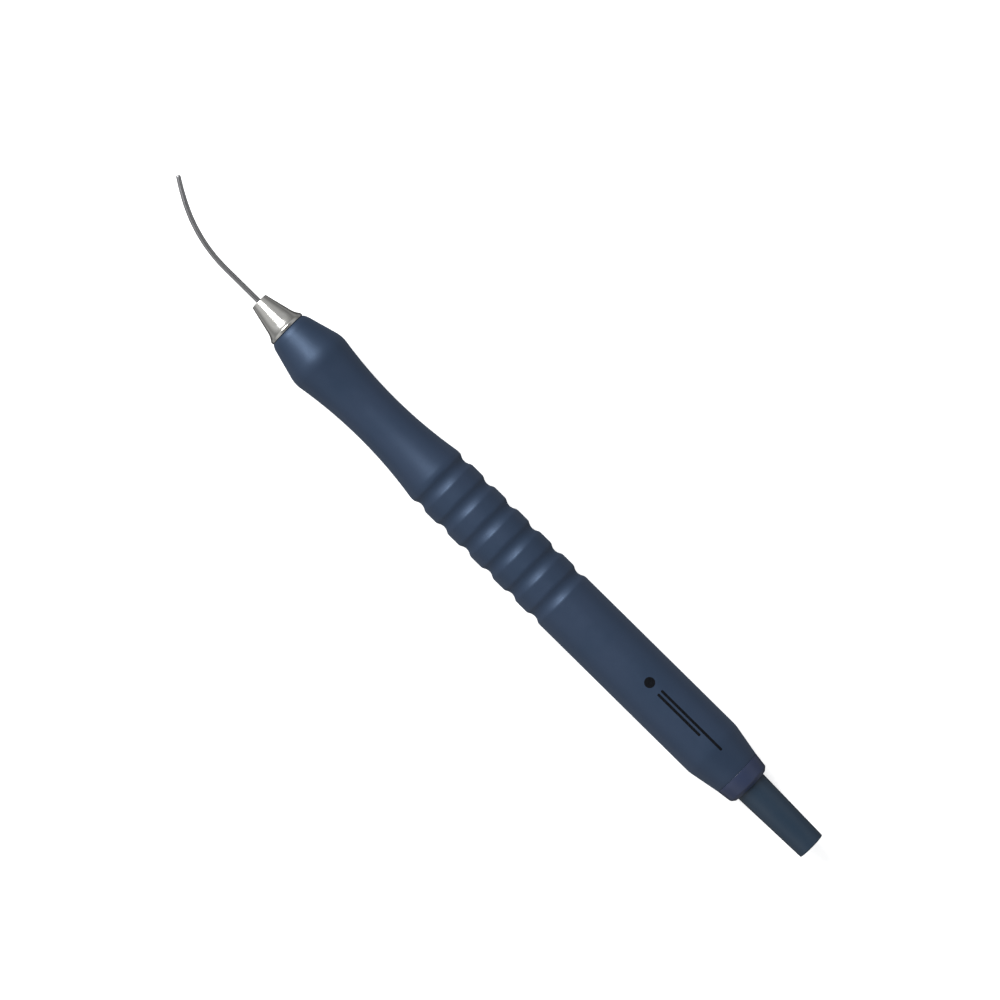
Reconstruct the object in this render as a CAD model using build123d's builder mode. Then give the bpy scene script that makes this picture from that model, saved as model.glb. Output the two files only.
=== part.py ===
from build123d import *
import os
from math import cos, radians, sin, tan

# Dental explorer with a replaceable wire tip, lying on its side. Millimetres.
# +X runs along the handle towards the tip, +Z is up, and the tip bends towards -Y.
# A station is a distance along the axis from the grip's front edge: positive
# towards the tail, negative towards the tip. Sections are drawn as (station, radius).

# --- Driving dimensions -------------------------------------------------------

GRIP_R = 6.0                 # ridges and plain barrel, which the handle lies on
GRIP_LENGTH = 116.9          # grip's front edge to the rear face of its collar
TAIL_LENGTH = 15.5           # exposed tail of the core
TAIL_R = 2.77                # core radius at its rear end
TAIL_DRAFT = 1.5             # mould draft of the tail, degrees

SHOULDER_R = 6.12            # where the nose slope and the waist curve would meet
SHOULDER = 7.8
WAIST_R = 4.83
WAIST = 24.0
WAIST_END = 36.9             # front edge of the first ridge

GROOVE_COUNT = 6
GROOVE_FIRST = 39.2
GROOVE_PITCH = 5.72
GROOVE_WIDTH = 2.6
GROOVE_DEPTH = 0.52
TAPER_START = 107.4          # rear end of the plain barrel
TAPER_ANGLE = 10.7
COLLAR_FRONT = 113.4
COLLAR_ANGLE = 7.6

CAP_LENGTH = 7.3
CAP_TIP_R = 1.67
CAP_BASE_R = 3.76
CAP_HALF_ANGLE = 13.6
CAP_FLARE = -2.2             # where the cone turns out into the base

WIRE_R = 0.48
WIRE_END_R = 0.43
WIRE_STRAIGHT = 8.4          # straight wire in front of the cap
BEND_R = 29.0
BEND_ANGLE = 27.0
HOOK_R = 45.0                # the gentler curve of the last stretch
HOOK_ANGLE = 7.0

SCREW_R = 2.0                # M4 x 0.5 between cap and chuck
FIT = 0.07                   # radial room in the modelled plain "thread" of the cap
SLIP = 0.04                  # radial room of parts that turn or slide on each other

CORE_R = 3.9
CORE_FRONT = 1.15
RIB_COUNT = 5
RIB_FIRST = 46.0
RIB_PITCH = 14.0
RIB_WIDTH = 1.5
RIB_HEIGHT = 0.4
TUBE_R = 2.4
BORE_R = 2.0                 # inside of the stiffening tube, and of the tail behind it

# --- Frame --------------------------------------------------------------------

AXIS_Z = GRIP_R
TAIL = GRIP_LENGTH + TAIL_LENGTH
WIRE_REACH = (
    WIRE_STRAIGHT
    + BEND_R * sin(radians(BEND_ANGLE))
    + HOOK_R * (sin(radians(BEND_ANGLE + HOOK_ANGLE)) - sin(radians(BEND_ANGLE)))
)
GRIP_FRONT_X = (TAIL - CAP_LENGTH - WIRE_REACH) / 2

SECTION = Plane(origin=(GRIP_FRONT_X, 0, AXIS_Z), x_dir=(-1, 0, 0), z_dir=(0, 1, 0))
BEND_PLANE = Plane(origin=(GRIP_FRONT_X, 0, AXIS_Z), x_dir=(-1, 0, 0), z_dir=(0, 0, 1))
AXIS = Axis((GRIP_FRONT_X, 0, AXIS_Z), (1, 0, 0))


def across(station):
    """The plane across the axis at a station, facing the tail."""
    return Plane(origin=(GRIP_FRONT_X - station, 0, AXIS_Z), x_dir=(0, 1, 0), z_dir=(-1, 0, 0))


def half_section(*outline):
    """A closed outline of (station, radius) points, to be turned about the axis."""
    with BuildSketch(SECTION) as section:
        with BuildLine():
            Polyline(*outline, close=True)
        make_face()
    return section.sketch


def cord_section(station, ring_r, cord_r):
    """The round section of an O-ring."""
    with BuildSketch(SECTION) as section:
        with Locations((station, ring_r)):
            Circle(cord_r)
    return section.sketch


os.makedirs("parts", exist_ok=True)

# --- Outline of the core, shared by the core, the grip moulded on it and the collar

BEAD = 115.0                 # snap bead that holds the collar
BEAD_WIDTH = 0.8
BEAD_HEIGHT = 0.2
NECK = 111.0                 # where the core starts to narrow to the tail


def tail_r(station):
    """Radius of the drafted tail, carried forward under the collar."""
    return TAIL_R + (TAIL - station) * tan(radians(TAIL_DRAFT))


core_side = [(CORE_FRONT, 3.3), (CORE_FRONT + 1.4, CORE_R)]
for n in range(RIB_COUNT):
    rib = RIB_FIRST + n * RIB_PITCH
    core_side += [
        (rib, CORE_R),
        (rib, CORE_R + RIB_HEIGHT),
        (rib + RIB_WIDTH, CORE_R + RIB_HEIGHT),
        (rib + RIB_WIDTH, CORE_R),
    ]
core_side += [
    (NECK, CORE_R),
    (COLLAR_FRONT, tail_r(COLLAR_FRONT)),
    (BEAD, tail_r(BEAD)),
    (BEAD + BEAD_WIDTH / 2, tail_r(BEAD) + BEAD_HEIGHT),
    (BEAD + BEAD_WIDTH, tail_r(BEAD + BEAD_WIDTH)),
]

# --- Handle core: moulded resin, its rear end the exposed tail ----------------

INSERT_FRONT = 3.0
INSERT_LENGTH = 8.0
INSERT_FLATS = 5.6

with BuildPart() as handle_core:
    revolve(
        half_section(
            *core_side,
            (TAIL, TAIL_R),
            (TAIL, BORE_R),
            (NECK + 2, BORE_R),
            (NECK + 2, TUBE_R),
            (INSERT_FRONT, TUBE_R),
            (INSERT_FRONT, SCREW_R),
            (CORE_FRONT, SCREW_R),
        ),
        axis=AXIS,
    )
    with BuildSketch(across(INSERT_FRONT)):
        RegularPolygon(radius=INSERT_FLATS / 2, side_count=6, major_radius=False)
    extrude(amount=INSERT_LENGTH, mode=Mode.SUBTRACT)
    rear_rim = handle_core.edges().group_by(Axis.X)[0].sort_by(SortBy.RADIUS)[-1]
    fillet(rear_rim, radius=0.25)

handle_core.part.label = "handle_core"
export_step(handle_core.part, "parts/handle_core.step")

# --- Stiffening tube: thin stainless tube inside the core ---------------------

TUBE_FRONT = 13.0

with BuildPart() as stiffening_tube:
    with BuildSketch(across(TUBE_FRONT)):
        Circle(TUBE_R)
        Circle(BORE_R, mode=Mode.SUBTRACT)
    extrude(amount=NECK + 2 - TUBE_FRONT)

stiffening_tube.part.label = "stiffening_tube"
export_step(stiffening_tube.part, "parts/stiffening_tube.step")

# --- Chuck insert: hexagonal threaded brass insert moulded into the core ------

with BuildPart() as chuck_insert:
    with BuildSketch(across(INSERT_FRONT)):
        RegularPolygon(radius=INSERT_FLATS / 2, side_count=6, major_radius=False)
        Circle(SCREW_R, mode=Mode.SUBTRACT)
    extrude(amount=INSERT_LENGTH)

chuck_insert.part.label = "chuck_insert"
export_step(chuck_insert.part, "parts/chuck_insert.step")

# --- Grip sleeve: silicone, moulded over the core -----------------------------

FLANGE_R = 3.05              # chuck flange, which the grip's lip closes around
GRIP_FRONT = 0.06
LIP_R = 3.72                 # radius of the grip's front edge
LIP_END = 1.5                # where the rounded lip runs into the nose slope
LIP_END_R = 4.38
SHOULDER_RADIUS = 5.6
RIDGE_RADIUS = 0.75
TAPER_EDGE_RADIUS = 11.0


def taper_r(station):
    """Radius of the long taper behind the barrel."""
    return GRIP_R - (station - TAPER_START) * tan(radians(TAPER_ANGLE))


with BuildPart() as grip_sleeve:
    with BuildSketch(SECTION) as grip_outline:
        with BuildLine():
            Line((GRIP_FRONT, FLANGE_R + SLIP), (GRIP_FRONT, LIP_R))
            ThreePointArc((GRIP_FRONT, LIP_R), (0.62, 4.08), (LIP_END, LIP_END_R))
            Line((LIP_END, LIP_END_R), (SHOULDER, SHOULDER_R))
            ThreePointArc((SHOULDER, SHOULDER_R), (WAIST, WAIST_R), (WAIST_END, GRIP_R))
            ridge_start = WAIST_END
            for n in range(GROOVE_COUNT):
                groove = GROOVE_FIRST + n * GROOVE_PITCH
                Line((ridge_start, GRIP_R), (groove - GROOVE_WIDTH / 2, GRIP_R))
                ThreePointArc(
                    (groove - GROOVE_WIDTH / 2, GRIP_R),
                    (groove, GRIP_R - GROOVE_DEPTH),
                    (groove + GROOVE_WIDTH / 2, GRIP_R),
                )
                ridge_start = groove + GROOVE_WIDTH / 2
            Polyline(
                (ridge_start, GRIP_R),
                (TAPER_START, GRIP_R),
                (COLLAR_FRONT, taper_r(COLLAR_FRONT)),
                (COLLAR_FRONT, tail_r(COLLAR_FRONT)),
            )
            Polyline(
                *reversed([p for p in core_side if p[0] <= COLLAR_FRONT]),
                (CORE_FRONT, FLANGE_R + SLIP),
                (GRIP_FRONT, FLANGE_R + SLIP),
            )
        make_face()
        full = [v for v in grip_outline.vertices() if abs(v.Y - GRIP_R) < 0.001]
        ridges = [v for v in full if v.X < TAPER_START - 0.001]
        fillet(ridges, radius=RIDGE_RADIUS)
        taper_edge = [v for v in grip_outline.vertices() if abs(v.X - TAPER_START) < 0.001]
        fillet(taper_edge, radius=TAPER_EDGE_RADIUS)
        peak = grip_outline.vertices().sort_by(Axis.Y)[-1]
        fillet(peak, radius=SHOULDER_RADIUS)
    revolve(axis=AXIS)

grip_sleeve.part.label = "grip_sleeve"
export_step(grip_sleeve.part, "parts/grip_sleeve.step")

# --- Sleeve collar: resin ring snapped on behind the grip ---------------------

COLLAR_GAP = 0.1
COLLAR_LIP = 116.3           # where the taper turns in to the rear face

collar_front = COLLAR_FRONT + COLLAR_GAP


def collar_r(station):
    """Radius of the collar, which tapers less than the grip in front of it."""
    return taper_r(COLLAR_FRONT) - (station - COLLAR_FRONT) * tan(radians(COLLAR_ANGLE))


with BuildPart() as sleeve_collar:
    collar_bore = [p for p in core_side if p[0] > COLLAR_FRONT]
    with BuildSketch(SECTION) as collar_outline:
        with BuildLine():
            Polyline(
                (collar_front, tail_r(collar_front)),
                (collar_front, collar_r(collar_front)),
                (COLLAR_LIP, collar_r(COLLAR_LIP)),
                (GRIP_LENGTH, 3.75),
                (GRIP_LENGTH, tail_r(GRIP_LENGTH)),
                *reversed(collar_bore),
                close=True,
            )
        make_face()
        lip = [(collar_front, 0.2), (COLLAR_LIP, 0.5), (GRIP_LENGTH, 0.3)]
        for station, rounding in lip:
            here = [v for v in collar_outline.vertices() if abs(v.X - station) < 0.001]
            fillet(sorted(here, key=lambda v: v.Y)[-1], radius=rounding)
    revolve(axis=AXIS)

sleeve_collar.part.label = "sleeve_collar"
export_step(sleeve_collar.part, "parts/sleeve_collar.step")

# --- Tail plug and its O-ring: close the hollow core --------------------------

PLUG_LENGTH = 4.8
PLUG_RECESS = 0.25
PLUG_GROOVE = 1.5            # from the plug's front face
PLUG_GROOVE_WIDTH = 0.8
PLUG_GROOVE_R = 1.5
DRIVER_SLOT = 0.5

with BuildPart() as tail_plug:
    plug_front = TAIL - PLUG_RECESS - PLUG_LENGTH
    plug_groove = plug_front + PLUG_GROOVE
    revolve(
        half_section(
            (plug_front, 0),
            (plug_front, BORE_R - 0.15),
            (plug_front + 0.3, BORE_R),
            (plug_groove, BORE_R),
            (plug_groove, PLUG_GROOVE_R),
            (plug_groove + PLUG_GROOVE_WIDTH, PLUG_GROOVE_R),
            (plug_groove + PLUG_GROOVE_WIDTH, BORE_R),
            (TAIL - PLUG_RECESS - 0.15, BORE_R),
            (TAIL - PLUG_RECESS, BORE_R - 0.15),
            (TAIL - PLUG_RECESS, 0),
        ),
        axis=AXIS,
    )
    with BuildSketch(across(TAIL - PLUG_RECESS)):
        Rectangle(2 * BORE_R - 1, DRIVER_SLOT)
    extrude(amount=-0.7, mode=Mode.SUBTRACT)

tail_plug.part.label = "tail_plug"
export_step(tail_plug.part, "parts/tail_plug.step")

with BuildPart() as plug_seal:
    plug_cord_r = (BORE_R - PLUG_GROOVE_R) / 2
    revolve(
        cord_section(
            plug_groove + PLUG_GROOVE_WIDTH / 2,
            PLUG_GROOVE_R + plug_cord_r,
            plug_cord_r,
        ),
        axis=AXIS,
    )

plug_seal.part.label = "plug_seal"
export_step(plug_seal.part, "parts/plug_seal.step")

# --- Chuck body: threaded nose and stem either side of a flange ---------------

COLLET_R = 1.3
COLLET_REAR = 9.0
CHUCK_FRONT = -3.6
CHUCK_REAR = 12.0
FLANGE_FRONT = 0.05
NECK_R = 1.75                # thread run-out in front of the flange
SEAL_R = 2.5                 # middle of the O-ring groove in the flange's face
SEAL_CORD_R = 0.22
STOP_R = 1.0
STOP_FRONT = 10.2
SHANK_BORE_R = 0.6

with BuildPart() as chuck_body:
    seal_room = SEAL_CORD_R + 0.03
    stop_bore = STOP_FRONT - 0.3
    revolve(
        half_section(
            (CHUCK_FRONT, COLLET_R + SLIP),
            (CHUCK_FRONT, SCREW_R - FIT - 0.2),
            (CHUCK_FRONT + 0.2, SCREW_R - FIT),
            (FLANGE_FRONT - 0.7, SCREW_R - FIT),
            (FLANGE_FRONT - 0.6, NECK_R),
            (FLANGE_FRONT, NECK_R),
            (FLANGE_FRONT, SEAL_R - seal_room),
            (FLANGE_FRONT + 2 * SEAL_CORD_R, SEAL_R - seal_room),
            (FLANGE_FRONT + 2 * SEAL_CORD_R, SEAL_R + seal_room),
            (FLANGE_FRONT, SEAL_R + seal_room),
            (FLANGE_FRONT, FLANGE_R - 0.1),
            (FLANGE_FRONT + 0.1, FLANGE_R),
            (CORE_FRONT, FLANGE_R),
            (CORE_FRONT, SCREW_R),
            (CHUCK_REAR, SCREW_R),
            (CHUCK_REAR, STOP_R),
            (stop_bore, STOP_R),
            (stop_bore, SHANK_BORE_R),
            (COLLET_REAR + 0.05, SHANK_BORE_R),
            (COLLET_REAR + 0.05, COLLET_R + SLIP),
        ),
        axis=AXIS,
    )

chuck_body.part.label = "chuck_body"
export_step(chuck_body.part, "parts/chuck_body.step")

with BuildPart() as cap_seal:
    revolve(cord_section(FLANGE_FRONT + SEAL_CORD_R, SEAL_R, SEAL_CORD_R - 0.01), axis=AXIS)

cap_seal.part.label = "cap_seal"
export_step(cap_seal.part, "parts/cap_seal.step")

with BuildPart() as tip_stop_screw:
    with BuildSketch(across(STOP_FRONT)):
        Circle(STOP_R)
    extrude(amount=CHUCK_REAR - STOP_FRONT)
    with BuildSketch(across(CHUCK_REAR)):
        RegularPolygon(radius=0.45, side_count=6, major_radius=False)
    extrude(amount=-0.9, mode=Mode.SUBTRACT)

tip_stop_screw.part.label = "tip_stop_screw"
export_step(tip_stop_screw.part, "parts/tip_stop_screw.step")

# --- Collet: slotted spring steel, four jaws joined at the rear ----------------

COLLET_FRONT = -7.15
CONE_FRONT = -5.4
CONE_REAR = -4.2
COLLET_NOSE_R = 0.85
SLOT_WIDTH = 0.2
SLOT_END = 4.0

with BuildPart() as collet:
    revolve(
        half_section(
            (COLLET_FRONT, WIRE_R + SLIP),
            (COLLET_FRONT, COLLET_NOSE_R - 0.1),
            (COLLET_FRONT + 0.1, COLLET_NOSE_R),
            (CONE_FRONT, COLLET_NOSE_R),
            (CONE_REAR, COLLET_R),
            (COLLET_REAR, COLLET_R),
            (COLLET_REAR, WIRE_R + SLIP),
        ),
        axis=AXIS,
    )
    with BuildSketch(across(COLLET_FRONT)):
        for turn in (45, 135):
            Rectangle(3 * COLLET_R, SLOT_WIDTH, rotation=turn)
    extrude(amount=SLOT_END - COLLET_FRONT, mode=Mode.SUBTRACT)

collet.part.label = "collet"
export_step(collet.part, "parts/collet.step")

# --- Glide ring: conical seat that squeezes the collet without turning it ------

RING_FRONT = -5.3
RING_REAR = -4.15
RING_R = 1.62


def cone_r(station):
    """Radius of the collet's closing cone."""
    slope = (COLLET_R - COLLET_NOSE_R) / (CONE_REAR - CONE_FRONT)
    return COLLET_NOSE_R + (station - CONE_FRONT) * slope


with BuildPart() as glide_ring:
    revolve(
        half_section(
            (RING_FRONT, cone_r(RING_FRONT) + SLIP),
            (RING_FRONT, RING_R),
            (RING_REAR, RING_R),
            (RING_REAR, cone_r(RING_REAR) + SLIP),
        ),
        axis=AXIS,
    )

glide_ring.part.label = "glide_ring"
export_step(glide_ring.part, "parts/glide_ring.step")

# --- Nose cap: polished flared cone that screws on to the chuck body -----------

CAP_BORE_R = 0.95
SEAT_FRONT = RING_FRONT - 0.05
SEAT_REAR = -3.85
FLARE_END = -0.6

with BuildPart() as nose_cap:
    cone_end_r = CAP_TIP_R + (CAP_FLARE + CAP_LENGTH) * tan(radians(CAP_HALF_ANGLE))
    cone_run = (cos(radians(CAP_HALF_ANGLE)), sin(radians(CAP_HALF_ANGLE)))
    with BuildSketch(SECTION) as cap_outline:
        with BuildLine():
            Polyline((-CAP_LENGTH, CAP_BORE_R), (-CAP_LENGTH, CAP_TIP_R), (CAP_FLARE, cone_end_r))
            TangentArc((CAP_FLARE, cone_end_r), (FLARE_END, CAP_BASE_R - 0.06), tangent=cone_run)
            Polyline(
                (FLARE_END, CAP_BASE_R - 0.06),
                (FLARE_END + 0.12, CAP_BASE_R),
                (-0.1, CAP_BASE_R),
                (0, CAP_BASE_R - 0.1),
                (0, SCREW_R + 0.2),
                (-0.2, SCREW_R),
                (SEAT_REAR, SCREW_R),
                (SEAT_REAR, RING_R + SLIP),
                (SEAT_FRONT, RING_R + SLIP),
                (SEAT_FRONT, CAP_BORE_R),
                (-CAP_LENGTH, CAP_BORE_R),
            )
        make_face()
        front_corner = cap_outline.vertices().group_by(Axis.X)[0].sort_by(Axis.Y)[-1]
        fillet(front_corner, radius=0.18)
    revolve(axis=AXIS)

nose_cap.part.label = "nose_cap"
export_step(nose_cap.part, "parts/nose_cap.step")

# --- Explorer tip: one steel wire, straight shank and curved working end -------

SHANK_REAR = 10.1

with BuildPart() as explorer_tip:
    with BuildLine(BEND_PLANE):
        shank = Line((SHANK_REAR, 0), (-CAP_LENGTH - WIRE_STRAIGHT, 0))
        bend = JernArc(shank @ 1, shank % 1, radius=BEND_R, arc_size=-BEND_ANGLE)
    with BuildSketch(across(SHANK_REAR)):
        Circle(WIRE_R)
    sweep()
    with BuildLine(BEND_PLANE) as hook_line:
        hook = JernArc(bend @ 1, bend % 1, radius=HOOK_R, arc_size=-HOOK_ANGLE)
    with BuildSketch(Plane(origin=hook @ 0, z_dir=hook % 0)):
        Circle(WIRE_R)
    with BuildSketch(Plane(origin=hook @ 1, z_dir=hook % 1)):
        Circle(WIRE_END_R)
    sweep(path=hook_line.line, multisection=True)
    fillet(explorer_tip.edges().group_by(Axis.X)[-1], radius=WIRE_END_R * 0.7)
    rear_edge = explorer_tip.edges().group_by(Axis.X)[0]
    fillet(rear_edge, radius=0.12)

explorer_tip.part.label = "explorer_tip"
export_step(explorer_tip.part, "parts/explorer_tip.step")
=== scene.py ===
"""Dental explorer: silicone-gripped handle, screwed nose cone and bent wire tip.

A station is a distance in millimetres along the handle's axis from the rear face of the
nose cap: positive towards the tail, negative towards the tip. Outlines are lists of
(station, radius), and angles round the axis start at +Y and turn towards +Z.
"""

from math import asin, atan2, cos, exp, hypot, pi, radians, sin, sqrt, tan

import bmesh
import bpy
from mathutils import Matrix, Vector


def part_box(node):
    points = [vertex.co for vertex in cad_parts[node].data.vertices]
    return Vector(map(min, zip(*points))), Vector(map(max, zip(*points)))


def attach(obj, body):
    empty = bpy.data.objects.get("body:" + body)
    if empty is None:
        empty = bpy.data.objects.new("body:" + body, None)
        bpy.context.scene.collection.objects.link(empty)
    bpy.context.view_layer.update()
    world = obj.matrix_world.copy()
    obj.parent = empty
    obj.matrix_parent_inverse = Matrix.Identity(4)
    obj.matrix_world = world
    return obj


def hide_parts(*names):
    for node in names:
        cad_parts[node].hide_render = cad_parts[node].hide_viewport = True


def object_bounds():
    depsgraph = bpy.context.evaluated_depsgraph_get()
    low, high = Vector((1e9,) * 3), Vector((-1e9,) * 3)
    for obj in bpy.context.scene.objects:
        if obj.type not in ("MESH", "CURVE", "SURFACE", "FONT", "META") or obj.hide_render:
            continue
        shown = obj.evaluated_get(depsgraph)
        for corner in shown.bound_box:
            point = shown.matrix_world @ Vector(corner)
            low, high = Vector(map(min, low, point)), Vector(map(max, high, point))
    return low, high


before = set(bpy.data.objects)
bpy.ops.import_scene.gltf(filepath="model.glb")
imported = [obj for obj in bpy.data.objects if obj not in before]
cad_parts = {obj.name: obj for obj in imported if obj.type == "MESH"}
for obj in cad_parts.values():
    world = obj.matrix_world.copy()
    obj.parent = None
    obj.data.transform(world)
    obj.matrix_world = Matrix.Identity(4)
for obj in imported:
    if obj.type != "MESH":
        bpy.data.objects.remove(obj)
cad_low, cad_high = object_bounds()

MM = 0.001
cap_low, cap_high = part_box("nose_cap")
AXIS_X = cap_low.x           # station 0, in metres
AXIS_Z = round((cap_low.z + cap_high.z) / 2, 5)
TAIL = (AXIS_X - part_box("handle_core")[0].x) / MM

# --- Sizes, millimetres ---

SLIP = 0.04                  # radial room of parts that turn or slide on each other
FILM = 0.008                 # the grip is this much under its CAD radius, for the print on it
GRIP_R = 6.0
GRIP_FRONT = 0.06
LIP_R = 3.72
LIP_MIDDLE = (0.62, 4.08)    # a point that the lip's arc passes through
LIP_END = 1.5
LIP_END_R = 4.38
SHOULDER = 7.8
SHOULDER_R = 6.12
WAIST = 24.0
WAIST_R = 4.83
WAIST_END = 36.9
GROOVE_COUNT = 6
GROOVE_FIRST = 39.2
GROOVE_PITCH = 5.72
GROOVE_HALF = 1.3
GROOVE_DEPTH = 0.52
GROOVES_END = GROOVE_FIRST + (GROOVE_COUNT - 1) * GROOVE_PITCH + 2.2    # just past the last one
TAPER_START = 107.4
TAPER_SLOPE = tan(radians(10.7))

CORE_R = 3.9
CORE_FRONT = 1.15
CORE_FRONT_R = 3.3
CORE_CHAMFER = 1.4           # how far back the core reaches its full radius
RIB_COUNT = 5
RIB_FIRST = 46.0
RIB_PITCH = 14.0
RIB_WIDTH = 1.5
RIB_HEIGHT = 0.4
NECK = 111.0
TAIL_R = 2.77
TAIL_SLOPE = tan(radians(1.5))
BORE_R = 2.0
TUBE_R = 2.4                 # of the stiffening tube and its pocket in the core
POCKET_FRONT = 11.0          # at the rear of the moulded-in insert
POCKET_REAR = NECK + 2

COLLAR_FRONT = 113.4
COLLAR_FACE = COLLAR_FRONT + 0.08
COLLAR_SLOPE = tan(radians(7.6))
COLLAR_LIP = 116.3
COLLAR_REAR = 116.9
COLLAR_REAR_R = 3.75
SLEEVE_REAR = COLLAR_FRONT + 0.05
BEAD = 115.0                 # front of the bead that the collar snaps over
BEAD_WIDTH = 0.8
BEAD_HEIGHT = 0.2

PLUG_R = BORE_R - 0.01
PLUG_RECESS = 0.25
PLUG_LENGTH = 4.8
PLUG_CHAMFER = 0.3
PLUG_GROOVE = 1.5            # from the plug's front face
PLUG_GROOVE_WIDTH = 0.8
PLUG_GROOVE_R = 1.5
PLUG_FACE_R = 1.6            # the rear face is plain from its edge in to here
DRIVER_HALF_LENGTH = 1.5
DRIVER_HALF_WIDTH = 0.25
DRIVER_DEPTH = 0.7

CAP_FRONT = -7.3
CAP_TIP_R = 1.67
CAP_BASE_R = 3.76
CAP_RIM_R = CAP_BASE_R - 0.06
CAP_BORE_R = 0.95
CAP_FLARE = -2.2
CAP_SLOPE = radians(13.6)
CAP_THREAD_FRONT = -3.7
CAP_MOUTH = 0.2              # chamfer where the cap's thread starts
FLARE_END = -0.6
SEAT_FRONT = -5.35           # the pocket that holds the glide ring
SEAT_REAR = -3.85
SEAT_R = 1.66

THREAD_PITCH = 0.5
THREAD_DEPTH = 0.27
THREAD_CREST = 1.93          # male; the cap's thread is FIT outside it all the way
THREAD_ROOT = THREAD_CREST - THREAD_DEPTH
THREAD_FADE = 0.35           # along the axis, at each end of a thread
FIT = 0.07

CHUCK_FRONT = -3.6
CHUCK_THREAD_FRONT = -3.45
CHUCK_REAR = 12.0
FLANGE_FRONT = 0.05
CHUCK_THREAD_REAR = FLANGE_FRONT - 0.5
FLANGE_R = 3.05
SHANK_BORE_R = 0.6
STOP_R = 1.0                 # bore of the stop screw
STOP_BORE_FRONT = 9.9
SEAL_R = 2.5                 # middle of the O-ring's groove in the flange
SEAL_CORD_R = 0.21
SEAL_GROOVE_DEPTH = 0.44
SEAL_GROOVE_HALF = SEAL_CORD_R + 0.04

COLLET_FRONT = -7.15
COLLET_NOSE_R = 0.85
CONE_FRONT = -5.4
CONE_REAR = -4.2
COLLET_R = 1.3
COLLET_BORE = 0.52
COLLET_REAR = 9.0
COLLET_GAP = 0.05            # behind it, to the end of its bore in the chuck
SLOT_HALF = 0.1
SLOT_END = 4.0

WIRE_R = 0.48
WIRE_END_R = 0.43
WIRE_REAR = 10.1
WIRE_REAR_EDGE = ((0, 0.12), (0.035, 0.035), (0.12, 0.0))    # (distance in, how much thinner)
WIRE_BEND = CAP_FRONT - 8.4  # where the straight wire ends
BEND_R = 29.0
BEND_ANGLE = radians(27)
HOOK_R = 45.0
HOOK_ANGLE = radians(7)
WIRE_TIP_ROUND = WIRE_END_R * 0.7

# --- How finely the meshes are divided ---

WIDE_SEGMENTS = 144          # round the grip, the collar and the cap
CORE_SEGMENTS = 112
SLIM_SEGMENTS = 96           # round the chuck, the plug and the O-ring
CORD_SEGMENTS = 20           # round the O-ring's section
WIRE_SEGMENTS = 32
WIRE_STEP = 0.6
BEND_STEPS = 46
HOOK_STEPS = 20
TIP_STEPS = 6
FLARE_STEPS = 18
JAW_STEPS = 14
MARK_STEPS = 40              # along a printed bar
MARK_HALF_COLUMNS = 4        # from its middle to its side
ARC_STEP = radians(15)       # at a rounded corner
WELD = 2e-7                  # metres: points nearer than this become one
SHARP_ANGLE = radians(40)    # an edge that turns more than this isn't shaded smooth

# --- Outlines ---


def tail_r(station):
    """Radius of the core's drafted tail."""
    return TAIL_R + (TAIL - station) * TAIL_SLOPE


def taper_r(station):
    """Radius of the long taper behind the plain barrel."""
    return GRIP_R - (station - TAPER_START) * TAPER_SLOPE


def collar_r(station):
    """Radius of the collar, which tapers less than the grip in front of it."""
    return taper_r(COLLAR_FRONT) - (station - COLLAR_FRONT) * COLLAR_SLOPE


def bead(room):
    """The snap bead's outline from front to rear, with room outside it."""
    middle = BEAD + BEAD_WIDTH / 2
    rear = BEAD + BEAD_WIDTH
    return [
        (BEAD, tail_r(BEAD) + room),
        (middle, tail_r(middle) + BEAD_HEIGHT + room),
        (rear, tail_r(rear) + room),
    ]


def circle_through(a, b, c):
    """Centre and radius of the circle through three points."""
    ax, ay, bx, by = a[0] - c[0], a[1] - c[1], b[0] - c[0], b[1] - c[1]
    cross = 2 * (ax * by - ay * bx)
    aa, bb = ax * ax + ay * ay, bx * bx + by * by
    x, y = (by * aa - ay * bb) / cross, (ax * bb - bx * aa) / cross
    return (x + c[0], y + c[1]), hypot(x, y)


LIP_ARC = circle_through((GRIP_FRONT, LIP_R), LIP_MIDDLE, (LIP_END, LIP_END_R))
WAIST_ARC = circle_through((SHOULDER, SHOULDER_R), (WAIST, WAIST_R), (WAIST_END, GRIP_R))
GROOVE_ARC = (GROOVE_HALF**2 + GROOVE_DEPTH**2) / (2 * GROOVE_DEPTH)


def grip_raw(station):
    """Radius of the grip with sharp edges where its curves meet."""
    if station < LIP_END:
        (cx, cy), r = LIP_ARC
        return cy + sqrt(max(r * r - (station - cx) ** 2, 0))
    if station < SHOULDER:
        rise = (SHOULDER_R - LIP_END_R) / (SHOULDER - LIP_END)
        return LIP_END_R + (station - LIP_END) * rise
    if station < WAIST_END:
        (cx, cy), r = WAIST_ARC
        return cy - sqrt(r * r - (station - cx) ** 2)
    if station > TAPER_START:
        return taper_r(station)
    nearest = round((station - GROOVE_FIRST) / GROOVE_PITCH)
    off = station - GROOVE_FIRST - min(max(nearest, 0), GROOVE_COUNT - 1) * GROOVE_PITCH
    if abs(off) >= GROOVE_HALF:
        return GRIP_R
    return GRIP_R - GROOVE_DEPTH + GROOVE_ARC - sqrt(GROOVE_ARC**2 - off * off)


# An edge of the grip is rounded by averaging the radius along it. The spread of that average
# is largest at the shoulder, whose share fades out over SHOULDER_REACH.
GROOVE_SPREAD = 0.22
TAPER_SPREAD = 0.38
LIP_SPREAD = 0.12
SHOULDER_SPREAD = 0.68
SHOULDER_REACH = 2.2
EDGE_LEAD = 3                # a stretch's spread starts this far ahead of its edge
SAMPLES = 6                  # to either side
SAMPLES_PER_SPREAD = 2.4


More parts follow.
